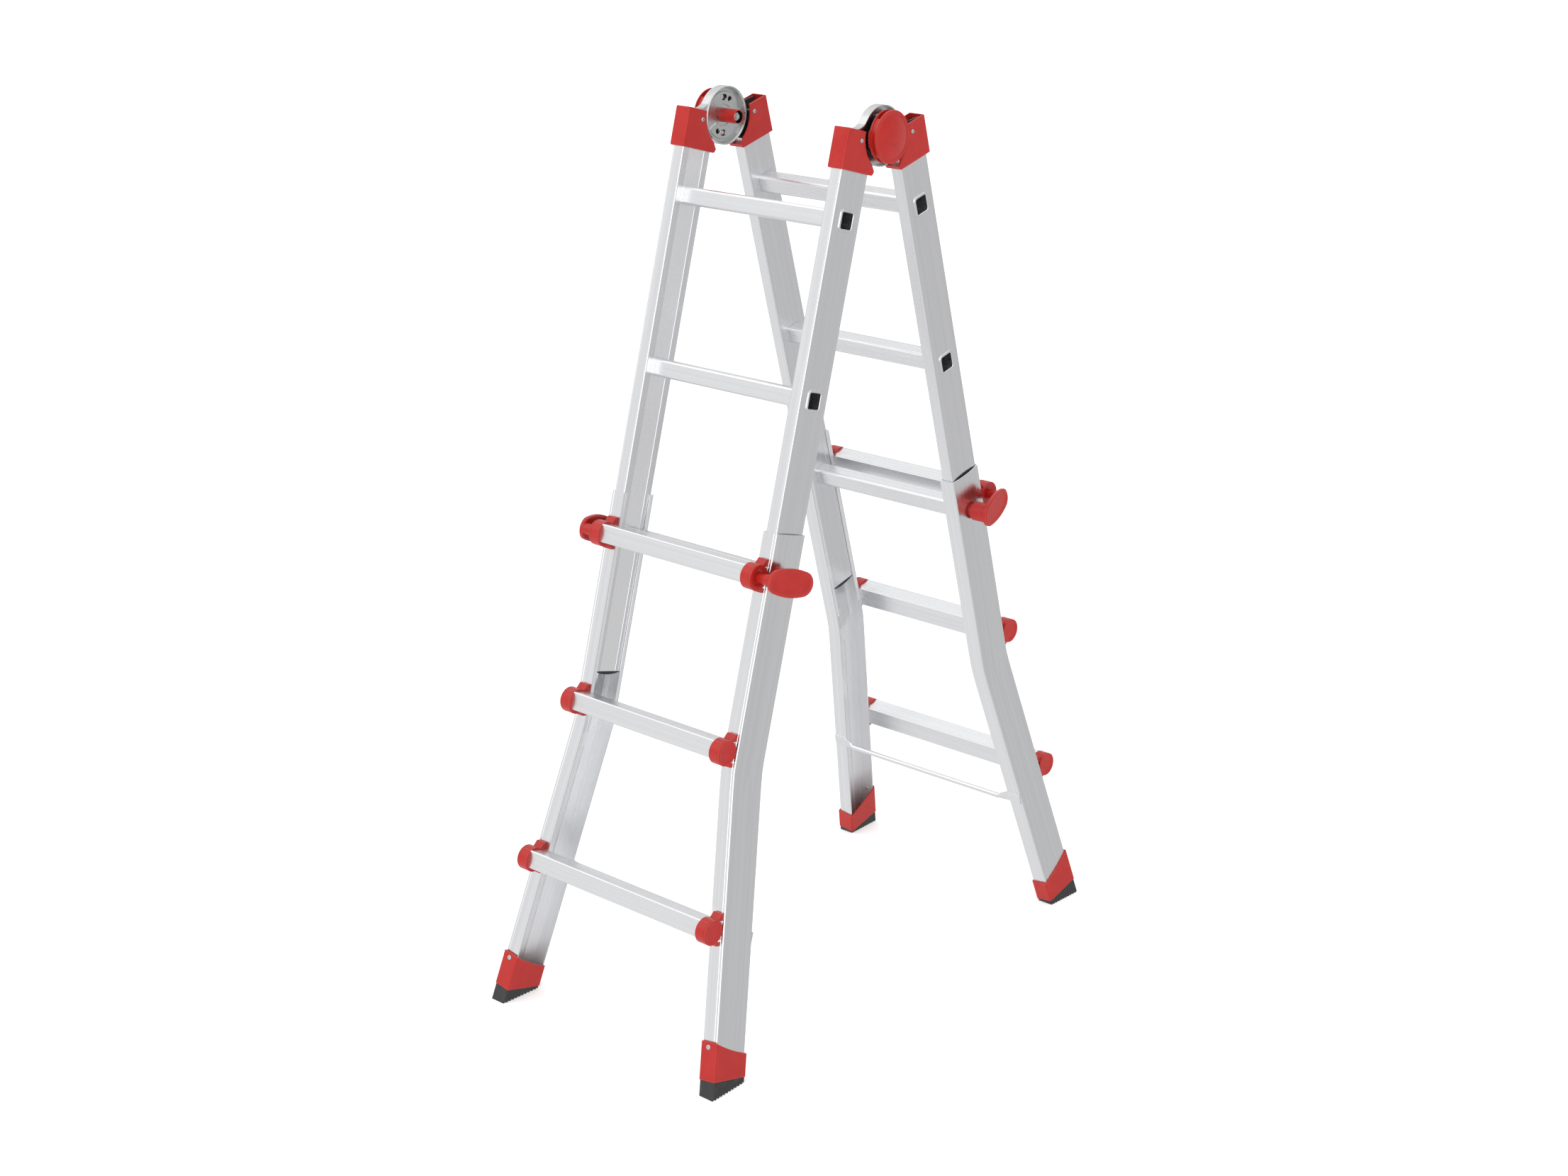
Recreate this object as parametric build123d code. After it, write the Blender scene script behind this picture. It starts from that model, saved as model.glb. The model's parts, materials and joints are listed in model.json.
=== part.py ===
"""Telescoping combination ladder, set up as an A-frame with both halves drawn out.

Millimetres, +Z up. The origin is on the floor under the middle of the ladder. X runs along
the rungs, the front half stands at -Y and the back half at +Y.

Each half is built in its own half frame: X along the rungs, Y outwards (the climbing side)
and Z up along the stiles, with the hinge axis at the origin. Distances called u are measured
down the stile from the hinge axis, so u = -Z there, and distances called v are along Y.
"""
from build123d import *
from math import asin, atan2, cos, degrees, pi, radians, sin, tan
import os

# ---- driving dimensions -------------------------------------------------------------
HINGE_HEIGHT = 1443.0      # hinge axis above the floor
HALF_ANGLE = 15.45         # lean of each half from the vertical, degrees
RUNG_PITCH = 280.0
FIRST_RUNG = 139.0         # u of the top rung

# upper (inner) stile: box profile
STILE_IN, STILE_OUT = 154.0, 176.5     # x of its two side faces
STILE_REAR, STILE_FRONT = 25.0, 90.0   # v of its two edges
STILE_WALL = 2.0
STILE_TOP, STILE_END = 10.0, 928.0     # u of its two ends
STILE_ARC_R = 56.0                     # its top is hollowed round the hinge axis
STILE_MID = (STILE_REAR + STILE_FRONT) / 2

# upper rungs: square tubes through the stiles
RUNG_SIDE, RUNG_WALL, RUNG_CORNER = 29.0, 1.6, 5.0
RIM_SIDE, RIM_THICK = 35.0, 1.6        # flared rim on the stile's outer face

# lower (outer) stile: channel open towards the middle of the ladder
CHANNEL_IN, CHANNEL_OUT = 151.5, 179.5
CHANNEL_REAR, CHANNEL_FRONT = 22.3, 92.7
CHANNEL_WALL = 2.2
CHANNEL_BOW = 3.5                      # outward bow of the web above the bend
CHANNEL_TOP, BEND_U = 629.0, 1012.0
SPLAY = 8.4                            # outward splay below the bend, degrees
LIP = 5.5

# lower rungs: D tubes in front of the stiles, in moulded end brackets
BRACKET_V, BRACKET_R = 113.8, 21.0
BRACKET_LENGTH, BRACKET_FACE = 21.0, 3.7
TREAD_TOP, TREAD_NOSE = 17.0, 127.0
TREAD_WALL = 1.8

# lock levers
STEM_R, STEM_ROOT_R, PIN_R, HOUSING_R = 8.0, 11.5, 12.2, 16.2
PIN_TIP, HOUSING_IN = 178.6, 186.4     # x of the lock pin's tip and of its housing
LEVER_LENGTH, LEVER_HEIGHT, LEVER_THICK = 89.0, 46.0, 8.0
LEVER_SIDE_R, LEVER_EGG = 115.0, 1.5   # radius of its long sides, and how far it is egg-shaped
LEVER_RIM = 6.5
LEVER_TILT = 11.3                      # degrees
LEVER_CENTRE = (213.0, 80.9)           # x, v

# stile heads
HEAD_IN, HEAD_OUT = 150.0, 181.0
HEAD_FRONT, HEAD_TOP, HEAD_END = 95.0, 0.8, 64.0
HEAD_WALL, HEAD_ARC_R = 3.0, 52.5
HEAD_CORNER, HEAD_EDGE, HEAD_FLOOR = 3.0, 2.0, 50.0
HEAD_RIVET = (16.0, 60.0)              # u, v

# hinges
LEAF_R, LEAF_IN, LEAF_PLATE, LEAF_OUT, LEAF_RIM = 47.5, 156.5, 2.0, 171.3, 2.0
DISH_FACE, DISH_REAR, DISH_R = 163.5, 165.0, 42.8  # face recessed inside the leaf's lip
BACK_LEAF_R, BACK_LEAF_IN, BACK_LEAF_THICK = 34.0, 171.8, 2.5
TANG_END = 110.0
PAD_RISE, PAD_INNER_R, PAD_OUTER_R, PAD_HALF = 1.5, 17.0, 39.0, 55.0
LIP_RISE = 2.0
HUB_R, HUB_BORE_R, HUB_END = 11.35, 10.0, 129.0
AXLE_R, AXLE_BORE_R, THREAD_R = 6.0, 6.05, 4.0
LOCK_PIN_R, LOCK_CIRCLE = 4.2, 28.6
LOCK_TIP = 165.2                       # x of the lock pins' tips, drawn clear of the dish
KNOB_R, KNOB_IN, KNOB_RIM, KNOB_CROWN = 41.3, 177.6, 188.0, 196.5
KNOB_DRUM_R, KNOB_CORE_R, KNOB_LUG_R = 39.0, 33.0, 43.6
KNOB_RIM_WIDTH, KNOB_RING_R = 5.6, 11.2

# feet, in the splayed frame: s runs down the leg from the bend
SHOE_WALL_SIDE, SHOE_WALL_EDGE = 2.6, 3.3
SHOE_BOTTOM, SHOE_TOP_FRONT, SHOE_TOP_REAR = 486.7, 421.0, 451.0
TREAD_PITCH, TREAD_DEPTH = 7.0, 2.4

# braces
BRACE_U, BRACE_V, BRACE_R = 1277.0, 16.0, 4.6

FOLD_SHUT = -2 * HALF_ANGLE            # turn of the back half that shuts the ladder
FOLD_STRAIGHT = 180 - 2 * HALF_ANGLE   # turn that makes one straight ladder


# ---- frames and small helpers -------------------------------------------------------
def place(half, shape):
    """Move a shape from the half frame to the ladder's frame."""
    lean = Pos(0, 0, HINGE_HEIGHT) * Rot(HALF_ANGLE, 0, 0)
    turn = Rot(0, 0, 180) if half == "front" else Rot(0, 0, 0)
    return turn * lean * shape


def sided(half, side, shape):
    """Turn a shape modelled on the half frame's +X side into the ladder's left or right one."""
    plus_x = (half == "back") == (side == "right")
    return shape if plus_x else mirror(shape, about=Plane.YZ)


def across(x):
    """Sketch plane square to X: its own X is v and its own Y is up the stile."""
    return Plane(origin=(x, 0, 0), x_dir=(0, 1, 0), z_dir=(1, 0, 0))


def run_x(face, x0, x1):
    """Extrude a (v, up) sketch between two x positions."""
    return extrude(across(x0) * face, amount=x1 - x0)


def run_u(face, u0, u1):
    """Extrude an (x, v) sketch down the stile from u0 to u1."""
    return extrude(Pos(0, 0, -u1) * face, amount=u1 - u0)


def block(x0, x1, v0, v1, u0, u1):
    """Box given by its limits in x, v and u."""
    centre = Pos((x0 + x1) / 2, (v0 + v1) / 2, -(u0 + u1) / 2)
    return centre * Box(x1 - x0, v1 - v0, u1 - u0)


def rod_x(radius, x0, x1, v=0.0, up=0.0):
    """Round bar along X."""
    return run_x(Pos(v, up) * Circle(radius), x0, x1)


def rounded_rect(x0, x1, y0, y1, radius):
    return Pos((x0 + x1) / 2, (y0 + y1) / 2) * RectangleRounded(x1 - x0, y1 - y0, radius)


def splay_plane(s):
    """Plane square to the splayed leg, s below the bend, with its origin on the web line."""
    tilt = radians(SPLAY)
    origin = (CHANNEL_OUT + s * sin(tilt), 0, -(BEND_U + s * cos(tilt)))
    return Plane(origin=origin, x_dir=(cos(tilt), 0, sin(tilt)), z_dir=(-sin(tilt), 0, cos(tilt)))


def splayed(face, s0, s1):
    """Extrude an (x from the web, v) sketch down the splayed leg."""
    return extrude(splay_plane(s1) * face, amount=s1 - s0)


def spring(radius, wire, x0, x1, turns, v, up):
    """Helical compression spring along X."""
    pitch = (x1 - x0 - wire) / turns
    path = Helix(pitch=pitch, height=x1 - x0 - wire, radius=radius)
    profile = Plane(origin=path @ 0, z_dir=path % 0) * Circle(wire / 2)
    coil = sweep(profile, path=path)
    return Pos(x0 + wire / 2, v, up) * Rot(0, 90, 0) * coil


SHOE_RIVET_PLANE = Plane(
    origin=splay_plane(SHOE_TOP_FRONT + 12).from_local_coords((-14, CHANNEL_FRONT + SHOE_WALL_EDGE, 0)),
    x_dir=(1, 0, 0), z_dir=(0, 1, 0))


# ---- upper section ------------------------------------------------------------------
def upper_rung_us():
    return [FIRST_RUNG + RUNG_PITCH * i for i in range(3)]


def upper_stile():
    outer = rounded_rect(STILE_IN, STILE_OUT, STILE_REAR, STILE_FRONT, 2.5)
    inner = rounded_rect(STILE_IN + STILE_WALL, STILE_OUT - STILE_WALL,
                         STILE_REAR + STILE_WALL, STILE_FRONT - STILE_WALL, 1.0)
    face = outer - inner
    face -= Pos(STILE_OUT - 3.4, STILE_FRONT) * Rectangle(0.8, 1.0)
    face -= Pos(STILE_IN, STILE_MID) * Rectangle(0.9, 36)
    stile = run_u(face, STILE_TOP, STILE_END) - rod_x(STILE_ARC_R, STILE_IN - 1, STILE_OUT + 1)
    for u in upper_rung_us():
        hole = Pos(STILE_MID, -u) * RectangleRounded(RUNG_SIDE + 0.1, RUNG_SIDE + 0.1, RUNG_CORNER)
        stile -= run_x(hole, STILE_IN - 2, STILE_OUT + 2)
    return stile - tang_holes(STILE_IN - 1, STILE_OUT + 1)


def grip_grooves(width, depth, reach, count, pitch):
    """Small grooves set along a line, as one sketch: reach is how far out the line lies."""
    cut = Sketch()
    for i in range(count):
        cut += Pos(reach, (i - (count - 1) / 2) * pitch) * Rectangle(2 * depth, width)
    return cut


def upper_rung(u):
    outer = RectangleRounded(RUNG_SIDE, RUNG_SIDE, RUNG_CORNER)
    bore_side = RUNG_SIDE - 2 * RUNG_WALL
    bore = RectangleRounded(bore_side, bore_side, RUNG_CORNER - RUNG_WALL)
    grooves = grip_grooves(1.1, 0.5, RUNG_SIDE / 2, 5, 4.0)
    face = outer - bore
    for turn in (0, 90, 180):
        face -= Rot(0, 0, turn) * grooves
    seat = Pos(STILE_MID, -u)
    rung = run_x(seat * face, -STILE_OUT, STILE_OUT)
    ring = seat * (RectangleRounded(RIM_SIDE, RIM_SIDE, 8) - bore)
    rim = run_x(ring, STILE_OUT, STILE_OUT + RIM_THICK)
    rim = chamfer(rim.edges().group_by(Axis.X)[-1], 0.7)
    return rung + rim + mirror(rim, about=Plane.YZ)


def stile_plug():
    """Black plug in the stile's lower end, with a domed sole."""
    section = rounded_rect(STILE_IN + STILE_WALL, STILE_OUT - STILE_WALL,
                           STILE_REAR + STILE_WALL, STILE_FRONT - STILE_WALL, 1.5)
    spigot = run_u(section, STILE_END - 18, STILE_END)
    left, right = (STILE_REAR + 0.5, -STILE_END), (STILE_FRONT - 0.5, -STILE_END)
    dome = make_face([ThreePointArc(left, (STILE_MID, -STILE_END - 5.5), right), Line(right, left)])
    return spigot + run_x(dome, STILE_IN + 0.3, STILE_OUT - 0.3)


# ---- stile heads --------------------------------------------------------------------
def head_profile():
    """Side outline of a stile head in (v, up), with its hollow arc round the hinge axis."""
    start = (HEAD_ARC_R, -HEAD_TOP)
    mid = (HEAD_ARC_R * cos(radians(30)), -HEAD_ARC_R * sin(radians(30)))
    end = (HEAD_ARC_R * cos(radians(62)), -HEAD_ARC_R * sin(radians(62)))
    toe = (16.0, -57.0)
    heel = (19.0, -HEAD_END)
    rest = Polyline(end, toe, heel, (HEAD_FRONT, -HEAD_END), (HEAD_FRONT, -HEAD_TOP), start)
    face = make_face([ThreePointArc(start, mid, end), rest])
    near = [v for v in face.vertices() if v.X < 20 and v.Y < -50]
    return fillet(near, 3.2)


def stile_head():
    head = run_x(head_profile(), HEAD_IN, HEAD_OUT)
    front = head.faces().filter_by(Axis.Y).sort_by(Axis.Y)[-1]
    head = fillet(front.edges().filter_by(Axis.Z), HEAD_CORNER)
    sides = head.faces().filter_by(Axis.X)
    head = fillet([e for f in sides for e in f.edges().filter_by(lambda e: e.length > 3)], HEAD_EDGE)
    head -= block(HEAD_IN + HEAD_WALL, HEAD_OUT - HEAD_WALL, 0, HEAD_FRONT - HEAD_WALL, -5, HEAD_FLOOR)
    head -= block(HEAD_IN + HEAD_WALL, HEAD_OUT - HEAD_WALL, 0, STILE_REAR, 0, HEAD_END - 6.5)
    head -= run_u(rounded_rect(STILE_IN, STILE_OUT, STILE_REAR, STILE_FRONT, 2.4), STILE_TOP, HEAD_END + 5)
    u, v = HEAD_RIVET
    for x in (HEAD_IN, HEAD_OUT):
        head -= rod_x(5.2, x - 0.6, x + 0.6, v, -u) - rod_x(3.9, x - 0.6, x + 0.6, v, -u)
    return head - rod_x(2.5, HEAD_IN - 1, HEAD_OUT + 1, v, -u)


def head_fasteners():
    """One through rivet with two domed heads, and two flush pins that hold leaf and stile."""
    u, v = HEAD_RIVET
    rivet = rod_x(2.4, HEAD_IN - 0.2, HEAD_OUT + 0.2, v, -u)
    rivet += rod_x(3.6, HEAD_OUT, HEAD_OUT + 1.0, v, -u)
    rivet += rod_x(3.6, HEAD_IN - 1.0, HEAD_IN, v, -u)
    rivet = chamfer(rivet.edges().group_by(Axis.X)[-1] + rivet.edges().group_by(Axis.X)[0], 0.6)
    rivet -= rod_x(1.2, HEAD_IN - 1.5, HEAD_IN + 1.5, v, -u)
    pins = [rod_x(2.4, STILE_IN, STILE_OUT, STILE_MID + d, -57) for d in (-15, 15)]
    return [rivet] + pins


# ---- hinges -------------------------------------------------------------------------
def leaf_outline(radius):
    """Keyhole outline in (v, up): a disc whose neck sweeps in an S into the stile's head."""
    leave = radians(25)
    top = (radius * cos(leave), radius * sin(leave))
    waist, shoulder = (radius * 0.5 + 24.0, 10.0), (66.0, -0.5)
    neck = [
        Line((0, 0), top),
        ThreePointArc(top, (waist[0] - 2.2, 14.6), waist),
        ThreePointArc(waist, (55.5, 3.4), shoulder),
        Polyline(shoulder, (STILE_FRONT - 3, -2.5), (STILE_FRONT - 3, -TANG_END),
                 (STILE_REAR + 3, -TANG_END), (STILE_REAR + 3, -40), (0, 0)),
    ]
    return make_face(neck) + Circle(radius)


def tang_holes(x0, x1):
    """Fastener holes through a leaf's tang."""
    u, v = HEAD_RIVET
    holes = rod_x(2.5, x0, x1, v, -u)
    for d in (-15, 15):
        holes += rod_x(2.5, x0, x1, STILE_MID + d, -57)
    return holes


def lock_angle(turn=0.0):
    """Polar angle in the front leaf's (v, up) frame of the upper lock pin."""
    return 90 - HALF_ANGLE - turn


def on_lock_circle(angle):
    return LOCK_CIRCLE * cos(radians(angle)), LOCK_CIRCLE * sin(radians(angle))


def lock_slot(angle, sweep_angle, radius):
    """Arc slot on the lock circle, from one angle through a sweep, with round ends."""
    a0, a1 = radians(angle), radians(angle + sweep_angle)
    mid = (a0 + a1) / 2
    arc = ThreePointArc(*[(LOCK_CIRCLE * cos(a), LOCK_CIRCLE * sin(a)) for a in (a0, mid, a1)])
    return SlotArc(arc, 2 * radius)


def leaf_pad():
    """Raised sector of the front leaf round a lock pin."""
    centre = lock_angle() + 6
    far = 140
    corners = [(far * cos(radians(centre + a)), far * sin(radians(centre + a))) for a in (PAD_HALF, -PAD_HALF)]
    wedge = make_face(Polyline((0, 0), corners[0], corners[1], (0, 0)))
    pad = (Circle(PAD_OUTER_R) - Circle(PAD_INNER_R)) & wedge
    return fillet(pad.vertices(), 4)


def leaf_dish():
    """Disc of the front leaf: a raised lip, a steep wall and the face recessed inside it."""
    crest = LEAF_IN - LIP_RISE
    profile = Polyline((DISH_FACE, 3), (DISH_FACE, DISH_R), (LEAF_IN, DISH_R + 1.4), (crest, LEAF_R - 2.2),
                       (crest, LEAF_R - 0.9), (crest + 0.9, LEAF_R), (DISH_REAR, LEAF_R), (DISH_REAR, 3),
                       (DISH_FACE, 3))
    return revolve(make_face(profile), axis=Axis.X)


def front_leaf():
    """Pressed leaf: dished disc with a deep rim, and a tang that goes down the stile."""
    outline = leaf_outline(LEAF_R)
    tang = run_x(outline - Circle(LEAF_R - LEAF_RIM), LEAF_IN, LEAF_IN + LEAF_PLATE)
    rim = run_x(outline - offset(outline, -LEAF_RIM), LEAF_IN, LEAF_OUT)
    rim -= block(150, 180, 20, 95, 40, TANG_END + 5)
    leaf = tang + rim + leaf_dish()
    pad = leaf_pad()
    for turn in (0, 180):
        leaf += extrude(across(DISH_FACE) * (Rot(0, 0, turn) * pad), amount=-PAD_RISE, taper=35)
    for turn in (0, 180):
        slot = Rot(0, 0, turn) * lock_slot(lock_angle(), 6, LOCK_PIN_R + 0.9)
        leaf -= run_x(slot, DISH_FACE - PAD_RISE - 1, DISH_REAR + 1)
        v, up = on_lock_circle(lock_angle(FOLD_SHUT) + turn)
        leaf -= rod_x(LOCK_PIN_R + 0.3, DISH_FACE - PAD_RISE - 1, DISH_REAR + 1, v, up)
    leaf -= rod_x(AXLE_BORE_R, LEAF_IN - 5, LEAF_OUT, 0, 0)
    return leaf - tang_holes(150, 180)


def back_leaf():
    """Flat dark leaf outboard of the front leaf, with its tang down the back stile."""
    x1 = BACK_LEAF_IN + BACK_LEAF_THICK
    leaf = run_x(leaf_outline(BACK_LEAF_R), BACK_LEAF_IN, x1)
    for turn in (0, 180):
        v, up = on_lock_circle(90 - HALF_ANGLE + turn)
        leaf -= rod_x(LOCK_PIN_R + 0.1, BACK_LEAF_IN - 1, x1 + 1, v, up)
    leaf -= rod_x(AXLE_BORE_R, BACK_LEAF_IN - 1, x1 + 1, 0, 0)
    return leaf - tang_holes(150, 180)


def hub_tube():
    tube = rod_x(HUB_R, HUB_END, DISH_FACE) - rod_x(HUB_BORE_R, HUB_END - 1, DISH_FACE + 1)
    return chamfer(tube.edges().group_by(Axis.X)[0], 0.5)


def hinge_bolt():
    """Axle bolt that the knob pulls on, its nut, and the spring that draws the knob in."""
    bolt = rod_x(AXLE_R, 150, KNOB_IN + 3) + rod_x(THREAD_R, HUB_END + 2, 150)
    bolt += rod_x(9, KNOB_IN + 3, KNOB_IN + 7)
    nut = run_x(RegularPolygon(7.5, 6), 133.5, 140) - rod_x(THREAD_R, 132, 141)
    nut = chamfer(nut.edges().filter_by(Plane.YZ).group_by(Axis.X)[0].sort_by(Edge.length.fget)[:6], 0.5)
    return [bolt, nut, spring(7.6, 1.6, 140.5, 156.6, 6, 0, 0)]


def knob_windows():
    """The drum's two openings, above and below: everything within 40 degrees of the vertical."""
    far = 60.0
    reach = radians(40)
    wedge = Polyline((0, 0), (far * sin(reach), far * cos(reach)), (-far * sin(reach), far * cos(reach)), (0, 0))
    above = run_x(Rot(0, 0, -HALF_ANGLE) * make_face(wedge), KNOB_IN + 2, KNOB_RIM)
    return above + Rot(180, 0, 0) * above


def knob():
    """Round release knob: domed cap on a windowed drum."""
    base = rod_x(KNOB_R, KNOB_IN, KNOB_IN + 2)
    base = chamfer(base.edges().group_by(Axis.X)[-1], 0.6)
    drum = rod_x(KNOB_DRUM_R, KNOB_IN + 1, KNOB_RIM) - rod_x(KNOB_CORE_R, KNOB_IN + 1, KNOB_RIM)
    core = rod_x(KNOB_CORE_R, KNOB_IN + 1, KNOB_RIM) - rod_x(KNOB_CORE_R - 2.5, KNOB_IN + 2, KNOB_RIM)
    body = base + (drum - knob_windows()) + core
    level = Rot(0, 0, 90 - HALF_ANGLE)
    lug = make_face(Polyline((30, 12), (46, 14), (46, -14), (30, -12), (30, 12))) & Circle(KNOB_LUG_R)
    for turn in (90, 270):
        body += run_x(level * Rot(0, 0, turn) * lug, KNOB_IN, KNOB_IN + 2.6)
    rim = rod_x(KNOB_R, KNOB_RIM, KNOB_RIM + 3)
    rim = fillet(rim.edges().group_by(Axis.X)[-1], 1.4)
    dome_r = KNOB_R - KNOB_RIM_WIDTH
    rise = KNOB_CROWN - KNOB_RIM - 2.4
    ball_r = (dome_r ** 2 + rise ** 2) / (2 * rise)
    half_way = asin(dome_r / ball_r) / 2
    arc = ThreePointArc((KNOB_RIM + 2.4, dome_r),
                        (KNOB_CROWN - ball_r + ball_r * cos(half_way), ball_r * sin(half_way)), (KNOB_CROWN, 0))
    lens = make_face([arc, Polyline((KNOB_CROWN, 0), (KNOB_RIM + 1, 0), (KNOB_RIM + 1, dome_r),
                                    (KNOB_RIM + 2.4, dome_r))])
    body += rim - rod_x(dome_r, KNOB_RIM + 2.2, KNOB_RIM + 4)
    body += revolve(lens, axis=Axis.X)
    body -= rod_x(AXLE_R + 0.05, KNOB_IN - 1, KNOB_IN + 3)
    ring = rod_x(KNOB_RING_R, KNOB_CROWN - 1.4, KNOB_CROWN + 1)
    body -= ring - rod_x(KNOB_RING_R - 0.6, KNOB_CROWN - 1.4, KNOB_CROWN + 1)
    for turn in (0, 180):
        v, up = on_lock_circle(90 - HALF_ANGLE + turn)
        body -= rod_x(LOCK_PIN_R, KNOB_IN - 1, KNOB_IN + 3, v, up)
    return body


def lock_pins():
    pins = []
    for turn in (0, 180):
        v, up = on_lock_circle(90 - HALF_ANGLE + turn)
        pin = rod_x(LOCK_PIN_R, LOCK_TIP, KNOB_IN + 3, v, up)
        pins.append(chamfer(pin.edges().group_by(Axis.X)[0], 0.8))
    return pins


# ---- lower section ------------------------------------------------------------------
def channel_face(bow):
    """Channel section in (x from the web, v): flanges, round corners and a bowed web."""
    x_in, rear, front, wall = CHANNEL_IN - CHANNEL_OUT, CHANNEL_REAR, CHANNEL_FRONT, CHANNEL_WALL
    r, q = 3.0, 1.0
    k, m = r * (1 - cos(pi / 4)), q * (1 - cos(pi / 4))
    w = -wall
    groove = 0.55

    def web(x, v0, v1):
        return ThreePointArc((x, v0), (x + bow, STILE_MID), (x, v1)) if bow else Line((x, v0), (x, v1))

    edges = [
        Line((x_in, rear), (-r, rear)),
        ThreePointArc((-r, rear), (-k, rear + k), (0, rear + r)),
        web(0, rear + r, front - r),
        ThreePointArc((0, front - r), (-k, front - k), (-r, front)),
        Polyline((-r, front), (groove - 5.5, front), (-5.5, front - groove), (-groove - 5.5, front),
                 (x_in, front), (x_in, front - wall), (w - q, front - wall)),
        ThreePointArc((w - q, front - wall), (w - m, front - wall - m), (w, front - wall - q)),
        web(w, front - wall - q, rear + wall + q),
        ThreePointArc((w, rear + wall + q), (w - m, rear + wall + m), (w - q, rear + wall)),
        Polyline((w - q, rear + wall), (x_in, rear + wall), (x_in, rear)),
    ]
    return make_face(edges)


def lower_stile():
    """Channel that wraps the upper stile, and splays outwards below the bend."""
    shift = Pos(CHANNEL_OUT, 0)
    straight_end = BEND_U - 17
    stile = run_u(shift * channel_face(CHANNEL_BOW), CHANNEL_TOP, straight_end)
    mid_tilt = radians(SPLAY / 2)
    mid = Plane(origin=(CHANNEL_OUT + 0.6, 0, -BEND_U), x_dir=(cos(mid_tilt), 0, sin(mid_tilt)),
                z_dir=(-sin(mid_tilt), 0, cos(mid_tilt)))
    stile += loft([Pos(0, 0, -straight_end) * shift * channel_face(CHANNEL_BOW),
                   mid * channel_face(CHANNEL_BOW * 0.7)], ruled=True)
    stile += loft([mid * channel_face(CHANNEL_BOW * 0.7),
                   splay_plane(25) * channel_face(CHANNEL_BOW * 0.35)], ruled=True)
    stile += loft([splay_plane(25) * channel_face(CHANNEL_BOW * 0.35),
                   splay_plane(55) * channel_face(0)], ruled=True)
    stile += splayed(channel_face(0), 55, SHOE_BOTTOM - 2.7)
    for v in (CHANNEL_REAR + CHANNEL_WALL + LIP / 2, CHANNEL_FRONT - CHANNEL_WALL - LIP / 2):
        stile += block(CHANNEL_IN, CHANNEL_IN + 2, v - LIP / 2, v + LIP / 2, CHANNEL_TOP, straight_end - 10)
    for v in (STILE_MID - 7, STILE_MID + 7):
        crest = CHANNEL_OUT - CHANNEL_WALL + CHANNEL_BOW - 0.4
        stile += block(crest - 1.4, crest + 0.8, v - 0.7, v + 0.7, CHANNEL_TOP + 12, straight_end)
        rib = Pos(-CHANNEL_WALL - 0.6, v) * Rectangle(1.6, 1.4)
        stile += splayed(rib, 55, SHOE_BOTTOM - 2.7)
    hole_u = FIRST_RUNG + 2 * RUNG_PITCH
    stile -= rod_x(PIN_R + 0.8, CHANNEL_OUT - 6, CHANNEL_OUT + 12, STILE_MID, -hole_u)
    return stile - shoe_rivet_shank(2.3)


def tread_face():
    """Section of a lower rung in (v, up from its axis): flat top, round nose, sloped underside."""
    rear, nose = CHANNEL_FRONT, TREAD_NOSE
    face = make_face(Polyline((rear, TREAD_TOP), (nose, TREAD_TOP), (nose, -12.5), (rear, -17.5),
                              (rear, TREAD_TOP)))
    corner = [v for v in face.vertices() if v.X > nose - 1 and v.Y > 0]
    face = fillet(corner, 2.2)
    low = [v for v in face.vertices() if v.X > nose - 1 and v.Y < -10]
    return fillet(low, 2)


def lower_rung(u, half_length):
    outer = tread_face()
    inner = offset(outer, -TREAD_WALL)
    front_grooves = Pos(0, 1.5) * grip_grooves(0.9, 0.25, TREAD_NOSE, 6, 4.2)
    face = outer - inner - front_grooves
    for i in range(7):
        face -= Pos(TREAD_NOSE - 5 - 4.2 * i, TREAD_TOP) * Rectangle(0.9, 0.7)
    return run_x(Pos(0, -u) * face, -half_length, half_length)


def bracket_profile():
    """Side outline of an end bracket: round front, hooked tab above and lip below."""
    a = radians(115)
    top = (BRACKET_V + BRACKET_R * cos(a), BRACKET_R * sin(a))
    low = (top[0], -top[1])
    rear = CHANNEL_FRONT
    edges = [
        ThreePointArc(top, (BRACKET_V + BRACKET_R, 0), low),
        Polyline(low, (99.5, -21.0), (98.0, -24.5), (rear + 0.6, -24.5), (rear, -19.0),
                 (rear, 19.0), (rear + 0.6, 28.5), (98.5, 29.0), (103.0, 21.5), top),
    ]
    face = make_face(edges)
    face = fillet([v for v in face.vertices() if 98 < v.X < 99 and v.Y > 28], 3.2)
    return fillet([v for v in face.vertices() if v.X < 99 and abs(v.Y) > 24 and v.Y < 28.6], 0.6)


def bracket_dish(x_face, up, rim_r, floor_r, depth):
    """Conical hollow in a bracket's end face."""
    cone = loft([across(x_face) * Pos(BRACKET_V, up) * Circle(rim_r),
                 across(x_face - depth) * Pos(BRACKET_V, up) * Circle(floor_r)])
    return cone + rod_x(rim_r, x_face, x_face + 1, BRACKET_V, up)


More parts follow.
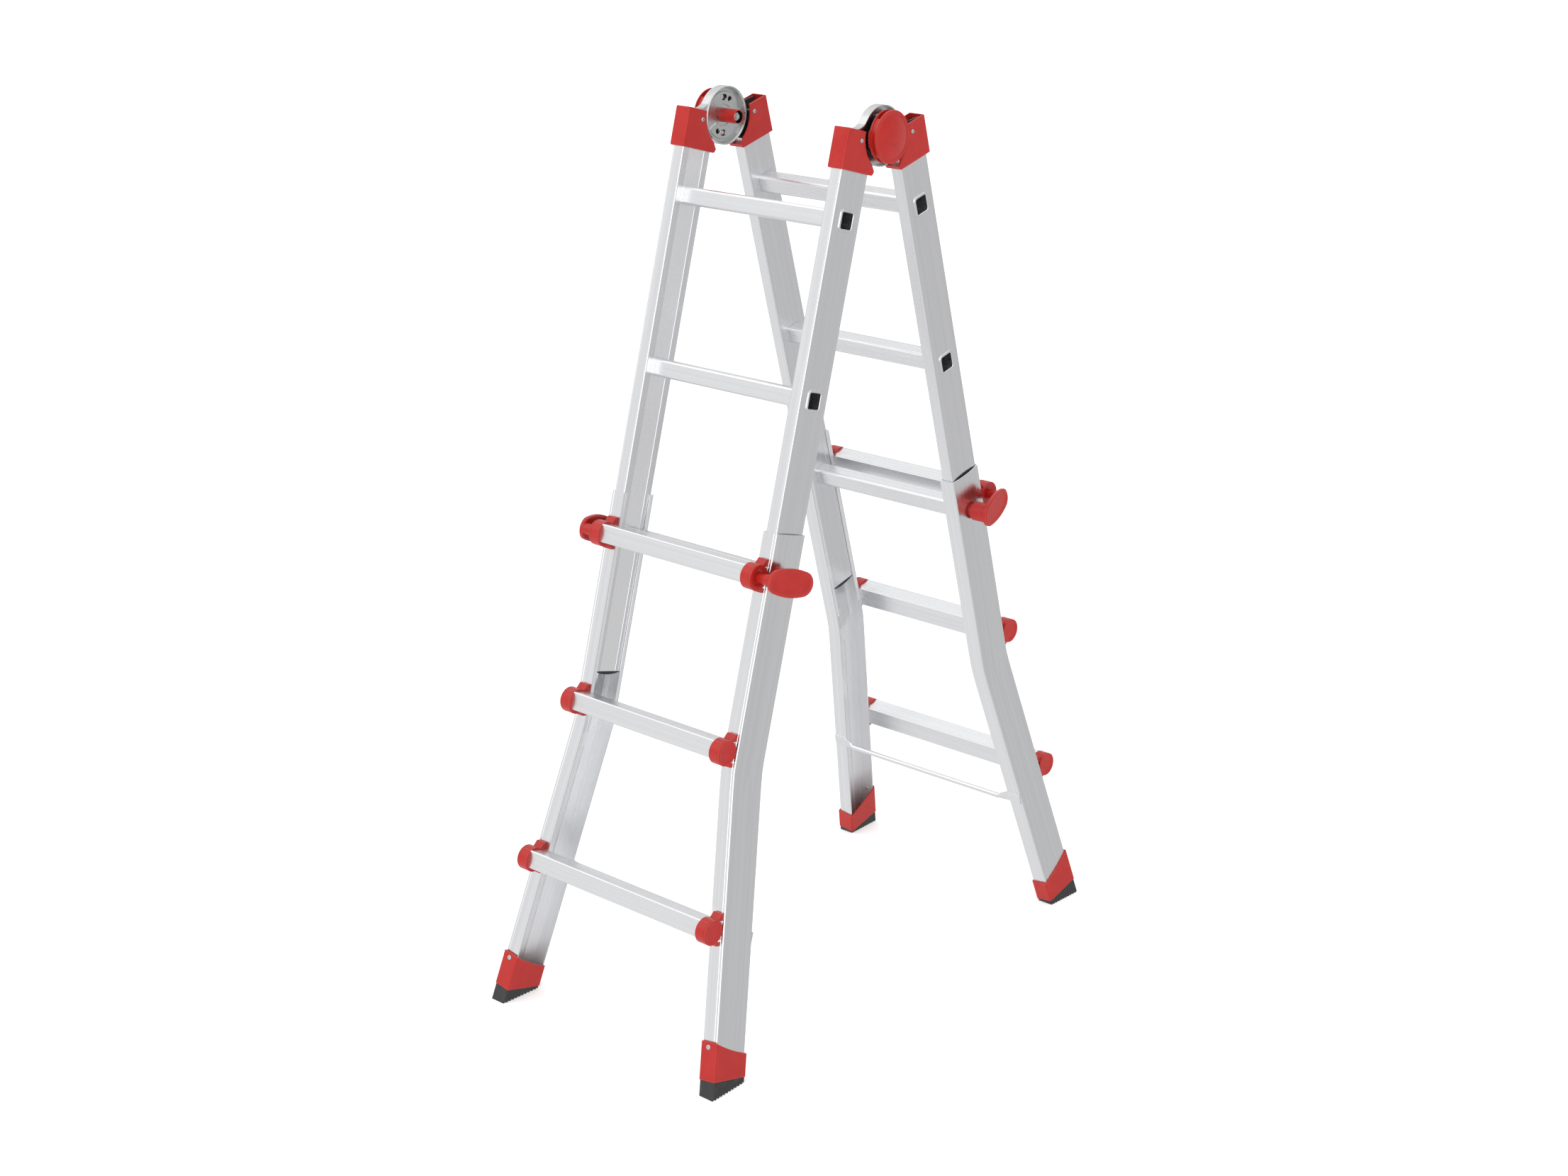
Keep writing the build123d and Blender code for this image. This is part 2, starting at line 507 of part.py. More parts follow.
def end_bracket(u, x_face, stem_hole):
    x0 = x_face - BRACKET_LENGTH
    wall_x = x_face - BRACKET_FACE
    axis = Pos(0, -u)
    shell = run_x(axis * bracket_profile(), x0, wall_x)
    ends = shell.edges().group_by(Axis.X)[0].filter_by(lambda e: e.length > 6)
    shell = chamfer(ends, 0.5) - run_x(axis * tread_face(), x0 - 1, wall_x)
    disc = rod_x(BRACKET_R, wall_x, x_face, BRACKET_V, -u)
    disc = fillet(disc.edges().group_by(Axis.X)[-1], 1.1)
    seam = Circle(BRACKET_R + 1) - Circle(BRACKET_R - 0.5)
    disc -= run_x(Pos(BRACKET_V, -u) * seam, wall_x, wall_x + 0.8)
    bracket = shell + disc
    if stem_hole:
        bracket -= rod_x(16.8, x_face - 0.5, x_face + 1, BRACKET_V, -u)
        bracket -= bracket_dish(x_face, -u, 15.4, STEM_R + 1.6, 2.6)
        return bracket - rod_x(STEM_R + 0.4, wall_x - 1, x_face + 1, BRACKET_V, -u)
    return bracket - bracket_dish(x_face, -u, 16.4, 13.4, 1.1)


def lower_rung_rows():
    """(u, x of the bracket's end face) of the three lower rungs."""
    rows = []
    for i in (2, 3, 4):
        u = FIRST_RUNG + RUNG_PITCH * i
        rows.append((u, CHANNEL_OUT - 3.0 + max(0.0, u - BEND_U) * tan(radians(SPLAY))))
    return rows


def lower_brackets():
    out = []
    for i, (u, x_face) in enumerate(lower_rung_rows()):
        out.append(end_bracket(u, x_face, i == 0))
    return out + [mirror(b, about=Plane.YZ) for b in out]


def brace():
    """Thin cross tube with flattened ends on the rear flanges."""
    u, x_tab, x_round = BRACE_U, 190.0, 170.0
    end = CHANNEL_IN + (BRACE_U - BEND_U) * tan(radians(SPLAY)) + 26
    v_tab = CHANNEL_REAR - 1.1
    bar = rod_x(BRACE_R, -x_round, x_round, BRACE_V, -u)
    tab_face = Pos(v_tab, -u + 2) * RectangleRounded(2.0, 20.0, 0.6)
    neck = loft([across(x_round) * Pos(BRACE_V, -u) * Circle(BRACE_R), across(x_tab) * tab_face])
    tab = run_x(tab_face, x_tab, end)
    tip = neck + tab
    return bar + tip + mirror(tip, about=Plane.YZ)


# ---- feet ---------------------------------------------------------------------------
def shoe():
    """Moulded sleeve over the foot of the splayed leg."""
    x0, x1 = CHANNEL_IN - CHANNEL_OUT, 0.0
    outer = rounded_rect(x0 - SHOE_WALL_SIDE, x1 + SHOE_WALL_SIDE, CHANNEL_REAR - SHOE_WALL_EDGE,
                         CHANNEL_FRONT + SHOE_WALL_EDGE, 3.5)
    body = splayed(outer, SHOE_TOP_FRONT, SHOE_BOTTOM)
    socket = Pos((x0 + x1) / 2, STILE_MID) * Rectangle(x1 - x0, CHANNEL_FRONT - CHANNEL_REAR)
    socket = fillet(socket.vertices().group_by(Axis.X)[-1], 2.8)
    body -= splayed(socket, SHOE_TOP_FRONT - 1, SHOE_BOTTOM - 2.7)
    rear, front = CHANNEL_REAR - 10, CHANNEL_FRONT + 10
    top_cut = make_face([
        ThreePointArc((rear, -SHOE_TOP_REAR), (STILE_MID - 8, -SHOE_TOP_REAR + 9), (front, -SHOE_TOP_FRONT)),
        Polyline((front, -SHOE_TOP_FRONT), (front, -SHOE_TOP_FRONT + 60),
                 (rear, -SHOE_TOP_FRONT + 60), (rear, -SHOE_TOP_REAR)),
    ])
    frame = splay_plane(0)
    side_plane = Plane(origin=frame.origin - frame.x_dir * 60, x_dir=(0, 1, 0), z_dir=frame.x_dir)
    return body - extrude(side_plane * top_cut, amount=120) - shoe_rivet_shank(2.3)


def floor_solid(depth):
    """Everything from the floor up, seen from the half frame."""
    lean = Pos(0, 0, HINGE_HEIGHT) * Rot(HALF_ANGLE, 0, 0)
    slab = Pos(0, 0, depth / 2) * Box(1200, 3000, depth)
    slab -= tread_cuts()
    return lean.inverse() * slab


def tread_cuts():
    """Saw-tooth grooves across the sole, in the ladder's frame."""
    cuts = Part()
    y = 400.0
    while y < 510:
        tooth = make_face(Polyline((y, 0), (y + TREAD_PITCH * 0.75, 0), (y + TREAD_PITCH * 0.5, TREAD_DEPTH), (y, 0)))
        cuts += run_x(tooth, 150, 320)
        y += TREAD_PITCH
    return cuts


def sole():
    """Rubber sole: a wedge between the shoe and the floor, with a saw-tooth tread."""
    x0, x1 = CHANNEL_IN - CHANNEL_OUT, 0.0
    outline = rounded_rect(x0 - 1.4, x1 + 1.4, CHANNEL_REAR - 2.2, CHANNEL_FRONT + 2.2, 3.0)
    return splayed(outline, SHOE_BOTTOM, SHOE_BOTTOM + 60) & floor_solid(200)


def shoe_rivet_shank(radius):
    return extrude(SHOE_RIVET_PLANE * Circle(radius), amount=-7)


def shoe_rivet():
    head = extrude(SHOE_RIVET_PLANE * Circle(4.2), amount=1.3)
    head = fillet(head.edges().group_by(Axis.Y)[-1], 1.0)
    return head + shoe_rivet_shank(2.3)


# ---- lock levers --------------------------------------------------------------------
def egg(inset=0.0):
    """Lever outline of four arcs, its long axis along X and its fuller end at +X."""
    a, b, side_r = LEVER_LENGTH / 2 - inset, LEVER_HEIGHT / 2 - inset, LEVER_SIDE_R - inset
    ends = []
    for sign in (1, -1):
        reach = a - sign * LEVER_EGG
        end_r = (2 * side_r * b - b ** 2 - reach ** 2) / (2 * (side_r - reach))
        centre = sign * (a - end_r)
        lean = atan2(side_r - b, abs(centre - LEVER_EGG))
        ends.append((centre + sign * end_r * cos(lean), end_r * sin(lean)))
    (x0, y0), (x1, y1) = ends
    corners = [(x0, y0), (x0, -y0), (x1, -y1), (x1, y1)]
    mids = [(a, 0), (LEVER_EGG, -b), (-a, 0), (LEVER_EGG, b)]
    return make_face([ThreePointArc(corners[i], mids[i], corners[(i + 1) % 4]) for i in range(4)])


def lock_lever():
    """Pull handle: stem in the rung's end, paddle, and a lock pin in line with the upper rung."""
    u = FIRST_RUNG + 2 * RUNG_PITCH
    x_mid, v_mid = LEVER_CENTRE
    tilt = radians(LEVER_TILT)
    face = Plane(origin=(x_mid, v_mid, -u), x_dir=(sin(tilt), -cos(tilt), 0), z_dir=(cos(tilt), sin(tilt), 0))
    back, front = -LEVER_THICK / 2, LEVER_THICK / 2
    slab = extrude(face.offset(back) * egg(), amount=LEVER_THICK - 1.5)
    slab = fillet(slab.faces().sort_by(Axis(face.origin, face.z_dir))[0].edges(), 2.2)
    crown = extrude(face.offset(front - 1.5) * egg(), amount=1.5, taper=60)
    dish = extrude(face.offset(front - 1.5) * Pos(1.5, 0) * egg(LEVER_RIM), amount=5, taper=-45)
    hollow = extrude(face.offset(back + 2.4) * egg(3.4), amount=-5)
    behind = extrude(face.offset(front - 2.8) * Rectangle(200, 200), amount=-120)
    stem = rod_x(STEM_R, 141, 184, BRACKET_V, -u)
    stem += loft([across(184) * Pos(BRACKET_V, -u) * Circle(STEM_R),
                  across(215) * Pos(BRACKET_V, -u) * Circle(STEM_ROOT_R)])
    housing = rod_x(HOUSING_R, HOUSING_IN, 230, STILE_MID, -u)
    housing = fillet(housing.edges().group_by(Axis.X)[0], 3.0)
    pin = rod_x(PIN_R, PIN_TIP, 200, STILE_MID, -u)
    pin = chamfer(pin.edges().group_by(Axis.X)[0], 1.2)
    return (slab + crown - dish - hollow) + (stem & behind) + ((housing + pin) & behind)


def lever_spring():
    """Spring round the stem inside the rung, and the washer that keeps it there."""
    up = -(FIRST_RUNG + 2 * RUNG_PITCH)
    washer = rod_x(10.6, 139.5, 141, BRACKET_V, up)
    return [washer, spring(9.4, 1.4, 141.2, 163, 6, BRACKET_V, up)]


# ---- the ladder ---------------------------------------------------------------------
def write(name, shapes):
    group = shapes if isinstance(shapes, list) else [shapes]
    solids = [s for shape in group for s in shape.solids()]
    shape = solids[0] if len(solids) == 1 else Compound(children=solids)
    export_step(shape, f"parts/{name}.step")


def write_pair(half, stem_name, shape):
    """Left and right piece from one modelled on the half frame's +X side."""
    for side in ("left", "right"):
        write(f"{half}_{stem_name}_{side}", place(half, sided(half, side, shape)))


def both_sides(shapes):
    return shapes + [mirror(s, about=Plane.YZ) for s in shapes]


def write_half(half):
    write_pair(half, "upper_stile", upper_stile())
    write_pair(half, "stile_head", stile_head())
    write_pair(half, "lower_stile", lower_stile())
    write_pair(half, "shoe", shoe())
    for number, u in enumerate(upper_rung_us(), start=1):
        write(f"{half}_upper_rung_{number}", place(half, upper_rung(u)))
    for number, (u, x_face) in enumerate(lower_rung_rows(), start=1):
        rung = lower_rung(u, x_face - BRACKET_FACE)
        write(f"{half}_lower_rung_{number}", place(half, rung))
    groups = {
        "stile_plugs": both_sides([stile_plug()]),
        "head_fasteners": both_sides(head_fasteners()),
        "rung_brackets": lower_brackets(),
        "brace": [brace()],
        "soles": both_sides([sole()]),
        "shoe_rivets": both_sides([shoe_rivet()]),
    }
    for name, shapes in groups.items():
        write(f"{half}_{name}", [place(half, s) for s in shapes])
    lever, coil = lock_lever(), lever_spring()
    for side in ("left", "right"):
        write(f"{half}_lock_lever_{side}", place(half, sided(half, side, lever)))
        write(f"{half}_lever_spring_{side}", [place(half, sided(half, side, s)) for s in coil])


def write_hinges():
    for side in ("left", "right"):
        front = {"hinge_front_leaf": [front_leaf()], "hinge_hub": [hub_tube()]}
        back = {"hinge_back_leaf": [back_leaf()], "hinge_bolt": hinge_bolt(),
                "hinge_knob": [knob()], "hinge_lock_pins": lock_pins()}
        for half, pieces in (("front", front), ("back", back)):
            for name, shapes in pieces.items():
                write(f"{name}_{side}", [place(half, sided(half, side, s)) for s in shapes])


os.makedirs("parts", exist_ok=True)
for half in ("front", "back"):
    write_half(half)
write_hinges()
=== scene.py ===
"""Looks of the telescoping ladder: camera, light, floor and procedural materials.

Metres, in the CAD frame: +Z up, X along the rungs, front half at -Y and back half at +Y.
Each half also has a frame of its own, from the hinge axis: v square to its stiles, outwards,
and u down its stiles.
"""
import json
from math import pi, radians, tan

import bpy
from mathutils import Euler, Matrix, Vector

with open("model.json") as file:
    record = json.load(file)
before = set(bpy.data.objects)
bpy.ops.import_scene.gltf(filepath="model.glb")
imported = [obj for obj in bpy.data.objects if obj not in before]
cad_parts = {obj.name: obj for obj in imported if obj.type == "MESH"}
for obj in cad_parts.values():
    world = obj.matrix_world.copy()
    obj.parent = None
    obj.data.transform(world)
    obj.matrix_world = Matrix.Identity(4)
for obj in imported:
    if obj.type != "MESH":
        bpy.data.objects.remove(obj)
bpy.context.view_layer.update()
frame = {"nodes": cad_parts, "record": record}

# the ladder
HALF_ANGLE = radians(15.45)     # lean of each half
HINGE = Vector((0, 0, 1.443))   # middle of the hinge axis, which runs along X
STILE_MID_V = 0.0575            # middle of the stiles
BEND_U = 1.012                  # bend of the lower stiles
SPLAY_TAN = tan(radians(8.4))   # outward splay below the bend
UPPER_INNER_X = 0.154           # inner face of the upper stiles
CHANNEL_INNER_X = 0.1782        # inside of the lower stiles' web
CHANNEL_INNER_V = 0.0332        # inside of their flanges, from the middle
HUB_BORE = 0.01005              # radius of the hubs' bore

# its finish
FLUTE_HALF_WIDTH = 0.018        # bright strip down the upper stiles' inner faces
FLUTE_DEPTH = 0.0006            # how deep into the face that strip goes
EDGE_HIGHLIGHT_WIDTH = 0.0022           # how far the painted highlight along the plastic's edges reaches
EDGE_COS, FLAT_COS = 0.80, 0.98  # how far the normal turns at a full edge and at a flat face

# the camera, in degrees below level and round from +Y
CAMERA_PLACE = (2.59407, -2.9929, 2.03591)
CAMERA_DOWN, CAMERA_HEADING = 19.082, 41.259

# the studio: brightness, and cones as direction and the cosines where they start and are full
WALL_BRIGHT, WALL_DIM = 0.88, 0.60
SOFT_BOX, SKY_TOP, SUN, FLOOR_GLOW = 0.9, 0.35, 0.5, 0.35
DIM_CONE = (0.66, 0.66, -0.36), -0.15, 0.85         # to the camera's right
SOFT_BOX_CONE = (0.62, -0.75, 0.22), 0.80, 0.97     # behind the camera
TOP_CONE = (0, 0, 1), 0.35, 0.95                    # overhead
SUN_FROM = (-0.30, -0.55, 0.78)
SUN_SPREAD = radians(60)
FLOOR_REACH = 60.0


# ---- camera, light and floor --------------------------------------------------------
def add_object(name, data):
    made = bpy.data.objects.new(name, data)
    bpy.context.scene.collection.objects.link(made)
    return made


def make_camera():
    data = bpy.data.cameras.new("camera")
    data.lens = 57.0
    data.sensor_width = 36.0
    camera = add_object("camera", data)
    camera.location = CAMERA_PLACE
    camera.rotation_euler = (radians(90 - CAMERA_DOWN), 0, radians(CAMERA_HEADING))
    bpy.context.scene.camera = camera


def make_floor():
    mesh = bpy.data.meshes.new("floor")
    r = FLOOR_REACH
    corners = [(-r, -r, 0), (r, -r, 0), (r, r, 0), (-r, r, 0)]
    mesh.from_pydata(corners, [], [(0, 1, 2, 3)])
    floor = add_object("floor", mesh)
    floor.visible_glossy = False
    g = Graph("pale_floor")
    g.set(Base_Color=(0.86, 0.86, 0.86, 1), Roughness=0.9, Specular_IOR_Level=0.0)
    g.set(Emission_Color=(1, 1, 1, 1), Emission_Strength=FLOOR_GLOW)
    mesh.materials.append(g.material)


def smooth_cone(tree, direction, start, end, low, high):
    """World value that eases from low to high as the view comes nearer to a direction."""
    coords = tree.nodes.new("ShaderNodeTexCoord")
    dot = tree.nodes.new("ShaderNodeVectorMath")
    dot.operation = 'DOT_PRODUCT'
    dot.inputs[1].default_value = Vector(direction).normalized()
    tree.links.new(coords.outputs["Generated"], dot.inputs[0])
    ease = tree.nodes.new("ShaderNodeMapRange")
    ease.interpolation_type = 'SMOOTHSTEP'
    for name, value in zip(("From Min", "From Max", "To Min", "To Max"), (start, end, low, high)):
        ease.inputs[name].default_value = value
    tree.links.new(dot.outputs["Value"], ease.inputs["Value"])
    return ease.outputs["Result"]


def make_sky():
    """White studio: dimmer to the camera's right, with soft boxes overhead and behind it."""
    world = bpy.data.worlds.new("studio")
    bpy.context.scene.world = world
    world.use_nodes = True
    tree = world.node_tree
    light = smooth_cone(tree, *DIM_CONE, WALL_BRIGHT, WALL_DIM)
    for cone, strength in ((SOFT_BOX_CONE, SOFT_BOX), (TOP_CONE, SKY_TOP)):
        total = tree.nodes.new("ShaderNodeMath")
        total.operation = 'ADD'
        tree.links.new(light, total.inputs[0])
        tree.links.new(smooth_cone(tree, *cone, 0.0, strength), total.inputs[1])
        light = total.outputs[0]
    shade = tree.nodes["Background"]
    tree.links.new(light, shade.inputs["Strength"])
    shade.inputs["Color"].default_value = (1, 1, 1, 1)


def make_lights():
    data = bpy.data.lights.new("key", 'SUN')
    data.energy = SUN
    data.angle = SUN_SPREAD
    key = add_object("key", data)
    key.rotation_euler = Vector(SUN_FROM).to_track_quat('Z', 'Y').to_euler()


# ---- shader building ----------------------------------------------------------------
class Graph:
    """A material's node tree round one Principled shader."""

    def __init__(self, name):
        self.material = bpy.data.materials.new(name)
        self.material.use_nodes = True
        self.tree = self.material.node_tree
        self.bsdf = self.tree.nodes["Principled BSDF"]

    def set(self, **sockets):
        for key, value in sockets.items():
            self.put(self.bsdf.inputs[key.replace("_", " ")], value)

    def put(self, socket, value):
        if isinstance(value, bpy.types.NodeSocket):
            self.tree.links.new(value, socket)
        else:
            socket.default_value = value

    def node(self, kind, **inputs):
        made = self.tree.nodes.new(kind)
        for key, value in inputs.items():
            self.put(made.inputs[key.replace("_", " ")], value)
        return made

    def math(self, operation, a, b=0.0):
        made = self.tree.nodes.new("ShaderNodeMath")
        made.operation = operation
        self.put(made.inputs[0], a)
        self.put(made.inputs[1], b)
        return made.outputs[0]

    def axes(self, coords):
        """The X, Y and Z of a place."""
        return tuple(self.node("ShaderNodeSeparateXYZ", Vector=coords).outputs)

    def noise(self, coords, stretch, detail, roughness):
        """Noise mostly between 0.3 and 0.7, its scale given along each axis, per metre."""
        mapping = self.node("ShaderNodeMapping", Vector=coords)
        mapping.inputs["Scale"].default_value = stretch
        made = self.node("ShaderNodeTexNoise", Vector=mapping.outputs[0], Scale=1.0,
                         Detail=detail, Roughness=roughness)
        return made.outputs["Fac"]

    def remap(self, value, low, high, to_low, to_high):
        made = self.node("ShaderNodeMapRange", Value=value, From_Min=low, From_Max=high,
                         To_Min=to_low, To_Max=to_high)
        return made.outputs["Result"]

    def ramp(self, value, low, high):
        """0 up to low, 1 from high."""
        return self.remap(value, low, high, 0.0, 1.0)

    def within(self, value, limit, border):
        """1 up to a limit, easing to 0 over a border beyond it."""
        return self.remap(value, limit, limit + border, 1.0, 0.0)

    def blend(self, factor, a, b):
        made = self.tree.nodes.new("ShaderNodeMix")
        made.data_type = 'RGBA'
        self.put(made.inputs["Factor"], factor)
        self.put(made.inputs["A"], a)
        self.put(made.inputs["B"], b)
        return made.outputs["Result"]

    def tint(self, tone, mask, amount, colour):
        """A tone drawn part of the way to a colour where the mask is 1."""
        return self.blend(self.math('MULTIPLY', mask, amount), tone, colour)

    def bump(self, height, distance, strength, under=None):
        made = self.node("ShaderNodeBump", Height=height, Distance=distance, Strength=strength)
        if under is not None:
            self.put(made.inputs["Normal"], under)
        return made.outputs[0]

    def edges(self, radius):
        """1 along edges, 0 on flat faces: how far the surface turns within a radius."""
        bevel = self.node("ShaderNodeBevel", Radius=radius)
        turn = self.tree.nodes.new("ShaderNodeVectorMath")
        turn.operation = 'DOT_PRODUCT'
        self.put(turn.inputs[0], bevel.outputs["Normal"])
        self.put(turn.inputs[1], self.node("ShaderNodeNewGeometry").outputs["Normal"])
        return self.remap(turn.outputs["Value"], EDGE_COS, FLAT_COS, 1.0, 0.0)

    def off_middle(self, v):
        """How far a place is from the middle of the stiles."""
        return self.math('ABSOLUTE', self.math('SUBTRACT', v, STILE_MID_V))

    def flute(self, coords):
        """1 on the flutes down the upper stiles' inner faces, 0 elsewhere."""
        x, v, _ = self.axes(coords)
        depth = self.math('SUBTRACT', self.math('ABSOLUTE', x), UPPER_INNER_X)
        return self.math('MULTIPLY', self.within(depth, FLUTE_DEPTH, border=0.0003),
                         self.within(self.off_middle(v), FLUTE_HALF_WIDTH, border=0.0006))

    def inside_channel(self, coords):
        """1 inside the lower stiles' channels, 0 outside them, in splayed coordinates."""
        x, v, _ = self.axes(coords)
        reach = self.math('SUBTRACT', x, self.math('SIGN', x))
        return self.math('MULTIPLY', self.within(reach, CHANNEL_INNER_X, border=0.0004),
                         self.within(self.off_middle(v), CHANNEL_INNER_V, border=0.0004))

    def bore(self, coords, radius):
        """1 within a radius of the hinge axis, 0 outside it."""
        _, y, z = self.axes(coords)
        up = self.math('SUBTRACT', z, HINGE.z)
        square = self.math('ADD', self.math('MULTIPLY', y, y), self.math('MULTIPLY', up, up))
        return self.within(self.math('SQRT', square), radius, border=0.0002)

    def row_coords(self):
        """Place in the row frame, which moves with the piece."""
        return self.node("ShaderNodeTexCoord").outputs["Object"]

    def half_coords(self, half):
        """Place in a half's own frame: X along the rungs, Y = v outwards, Z = -u up the stiles."""
        turn = Euler((HALF_ANGLE, 0, pi)) if half == "front" else Euler((-HALF_ANGLE, 0, 0))
        mapping = self.node("ShaderNodeMapping", Vector=self.row_coords())
        mapping.inputs["Rotation"].default_value = turn
        mapping.inputs["Location"].default_value = -(turn.to_matrix() @ HINGE)
        return mapping.outputs[0]

    def splayed_coords(self, half):
        """The same with the splay taken out of X, and the two sides told apart.

        X is the distance from the ladder's middle, plus 1 on one side and minus 1 on the
        other, so that the left and right stiles don't share their grain.
        """
        x, v, up = self.axes(self.half_coords(half))
        below = self.math('MAXIMUM', self.math('SUBTRACT', -BEND_U, up), 0.0)
        outward = self.math('MULTIPLY', below, SPLAY_TAN)
        reach = self.math('SUBTRACT', self.math('ABSOLUTE', x), outward)
        aside = self.math('ADD', reach, self.math('SIGN', x))
        return self.node("ShaderNodeCombineXYZ", X=aside, Y=v, Z=up).outputs[0]


# ---- materials ----------------------------------------------------------------------
def aluminium(name, coords_of, along, polish=0.24, ripple=0.0004, fluted=False, dull_inside=False):
    """Extruded alloy: fine die lines along one axis (0, 1 or 2), dull smudges, faint scratches.

    Upper stiles may have a brighter flute down the inner face, and the inside of a channel
    may be duller than its outside.
    """
    plain, bright = (0.79, 0.795, 0.81, 1), (0.83, 0.835, 0.85, 1)
    flute_tone, nick_tone = (0.95, 0.955, 0.965, 1), (0.62, 0.63, 0.64, 1)
    g = Graph(name)
    p = coords_of(g)

    def stretch(across, length):
        return [length if axis == along else across for axis in range(3)]

    lines = g.noise(p, stretch(1500, 9), 4, 0.6)
    bands = g.noise(p, stretch(190, 1.3), 2, 0.5)
    smudge = g.noise(p, stretch(9, 5), 4, 0.6)
    nicks = g.noise(p, stretch(420, 60), 6, 0.75)
    tone = g.blend(g.ramp(bands, 0.35, 0.65), plain, bright)
    if fluted:
        tone = g.blend(g.flute(p), tone, flute_tone)
    tone = g.tint(tone, g.ramp(nicks, 0.68, 0.74), 0.35, nick_tone)
    rough = g.math('ADD', g.remap(lines, 0.3, 0.7, polish - 0.03, polish + 0.06),
                   g.remap(smudge, 0.4, 0.7, 0.0, 0.08))
    metal = 1.0
    if dull_inside:
        inside = g.inside_channel(p)
        rough = g.math('ADD', rough, g.math('MULTIPLY', inside, 0.12))
        metal = g.math('SUBTRACT', 1.0, g.math('MULTIPLY', inside, 0.4))
    g.set(Base_Color=tone, Metallic=metal, Roughness=rough, Anisotropic=0.3)
    g.set(Normal=g.bump(bands, ripple, 0.5, under=g.bump(lines, 0.00006, 0.5)))
    return g.material


def red_plastic(name, dark_bore=None):
    """Moulded plastic: spark-eroded grain, slight mottling, scuffs, a painted highlight along its
    edges, painted shade in the bore.
    """
    deep, light = (0.405, 0.011, 0.008, 1), (0.445, 0.015, 0.011, 1)
    # the scuff colour, then the paler colour of the painted highlight along edges and steps
    scuffed, edge_highlight = (0.50, 0.08, 0.065, 1), (0.62, 0.15, 0.12, 1)
    # painted shade: the colour drawn inside the hubs' bore
    bore_shade = (0.012, 0.006, 0.006, 1)
    g = Graph(name)
    p = g.row_coords()
    grain = g.noise(p, (1100, 1100, 1100), 3, 0.6)
    mottle = g.noise(p, (45, 45, 45), 3, 0.55)
    scuff = g.ramp(g.noise(p, (160, 160, 40), 6, 0.75), 0.62, 0.72)
    tone = g.blend(g.ramp(mottle, 0.3, 0.7), deep, light)
    tone = g.tint(tone, scuff, 0.12, scuffed)
    # painted highlight: edges and steps drawn paler, as if light catches them
    tone = g.tint(tone, g.edges(EDGE_HIGHLIGHT_WIDTH), 0.4, edge_highlight)
    # painted shade: the inside of the bore drawn near black
    if dark_bore:
        tone = g.blend(g.bore(p, dark_bore), tone, bore_shade)
    rough = g.math('ADD', g.remap(mottle, 0.3, 0.7, 0.28, 0.37), g.math('MULTIPLY', scuff, 0.12))
    g.set(Base_Color=tone, Roughness=rough, Specular_IOR_Level=0.40)
    g.set(Normal=g.bump(grain, 0.00008, 0.45))
    return g.material


def zinc(name):
    """Zinc-plated steel: faint spangle and drawing marks."""
    plain = (0.57, 0.58, 0.58, 1)
    bright = tuple(channel * 1.07 for channel in plain[:3]) + (1,)
    g = Graph(name)
    p = g.row_coords()
    spangle = g.noise(p, (150, 150, 150), 2, 0.5)
    wipe = g.noise(p, (40, 900, 40), 4, 0.6)
    tone = g.blend(g.ramp(spangle, 0.35, 0.65), plain, bright)
    rough = g.math('ADD', g.remap(spangle, 0.3, 0.7, 0.20, 0.33),
                   g.remap(wipe, 0.4, 0.7, 0.0, 0.08))
    g.set(Base_Color=tone, Metallic=1.0, Roughness=rough)
    g.set(Normal=g.bump(wipe, 0.00003, 0.3))
    return g.material


def dark_coat(name):
    """Black-coated steel: fine speckle, worn through to grey here and there."""
    coat, worn = (0.045, 0.047, 0.05, 1), (0.22, 0.22, 0.22, 1)
    g = Graph(name)
    p = g.row_coords()
    speckle = g.noise(p, (700, 700, 700), 3, 0.6)
    wear = g.ramp(g.noise(p, (90, 90, 90), 5, 0.7), 0.6, 0.7)
    rough = g.remap(speckle, 0.3, 0.7, 0.28, 0.45)
    g.set(Base_Color=g.tint(coat, wear, 0.3, worn), Metallic=0.4, Roughness=rough)
    g.set(Normal=g.bump(speckle, 0.0001, 0.4))
    return g.material


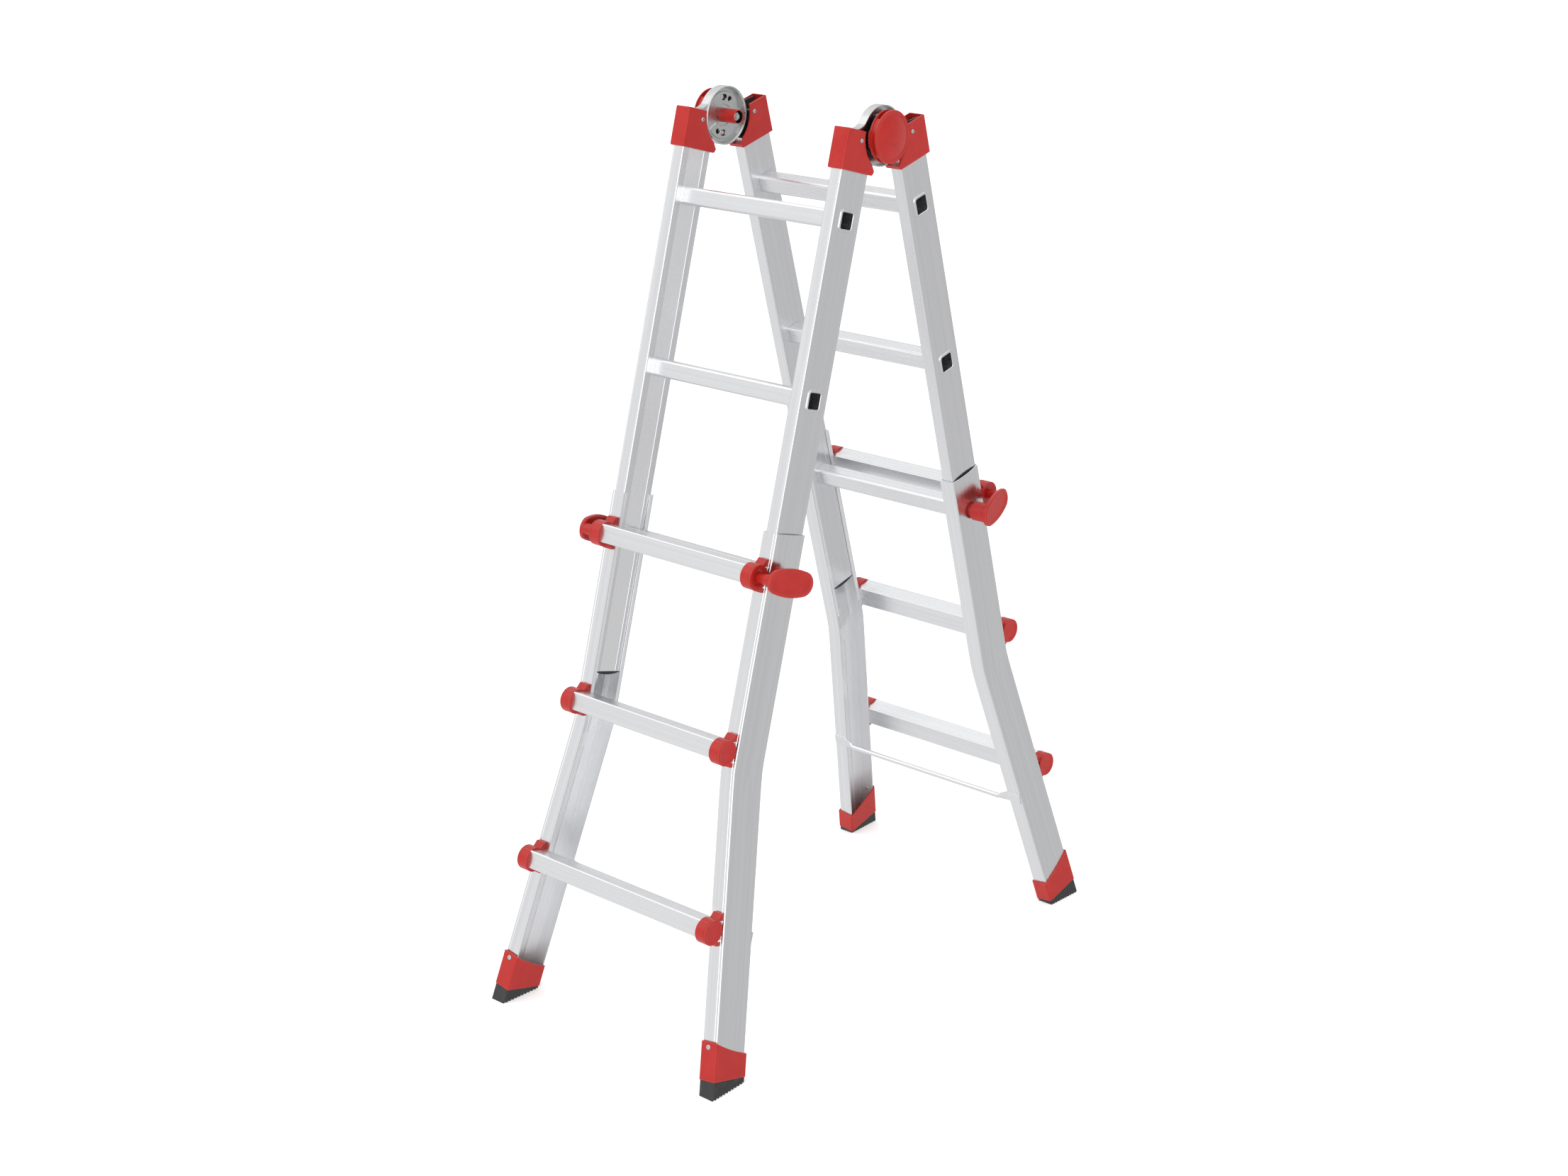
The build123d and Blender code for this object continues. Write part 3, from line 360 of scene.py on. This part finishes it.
def black_moulding(name, base, rough, grain_scale):
    """Dull black plastic or rubber: moulded grain and a little dust."""
    black, dusty = (base, base, base * 1.03, 1), (base * 3, base * 3, base * 3, 1)
    g = Graph(name)
    p = g.row_coords()
    grain = g.noise(p, (grain_scale,) * 3, 3, 0.6)
    dust = g.ramp(g.noise(p, (70, 70, 70), 5, 0.7), 0.5, 0.72)
    g.set(Base_Color=g.tint(black, dust, 0.35, dusty),
          Roughness=g.remap(grain, 0.3, 0.7, rough - 0.08, rough + 0.1))
    g.set(Normal=g.bump(grain, 0.00015, 0.6))
    return g.material


def paint(names, material):
    for name in names:
        mesh = frame["nodes"][name].data
        mesh.materials.clear()
        mesh.materials.append(material)


def paint_all():
    slots = {}
    for part in frame["record"]["subparts"]:
        slots.setdefault(part["material_slot"], []).append(part["node"])
    hubs = [n for n in slots["red_plastic"] if n.startswith("hinge_hub")]
    paint([n for n in slots["red_plastic"] if n not in hubs], red_plastic("red_plastic"))
    paint(hubs, red_plastic("hub_plastic", dark_bore=HUB_BORE))
    paint(slots["zinc_steel"], zinc("zinc_steel"))
    paint(slots["dark_steel"], dark_coat("dark_steel"))
    paint(slots["black_plastic"],
          black_moulding("black_plastic", base=0.018, rough=0.55, grain_scale=900))
    paint(slots["rubber"], black_moulding("rubber", base=0.026, rough=0.6, grain_scale=1400))
    for half in ("front", "back"):
        mine = [n for n in slots["aluminium"] if n.startswith(half)]
        channels = [n for n in mine if "lower_stile" in n]
        stiles = [n for n in mine if "upper_stile" in n]
        rungs = [n for n in mine if n not in channels + stiles]
        paint(stiles, aluminium(f"{half}_stile_alloy", lambda g: g.half_coords(half), along=2,
                                fluted=half == "front"))
        paint(channels, aluminium(f"{half}_channel_alloy", lambda g: g.splayed_coords(half),
                                  along=2, polish=0.17, ripple=0.0008, dull_inside=True))
        paint(rungs, aluminium(f"{half}_rung_alloy", lambda g: g.half_coords(half), along=0))


make_camera()
make_floor()
make_sky()
make_lights()
paint_all()
bpy.context.scene.view_settings.view_transform = 'Standard'
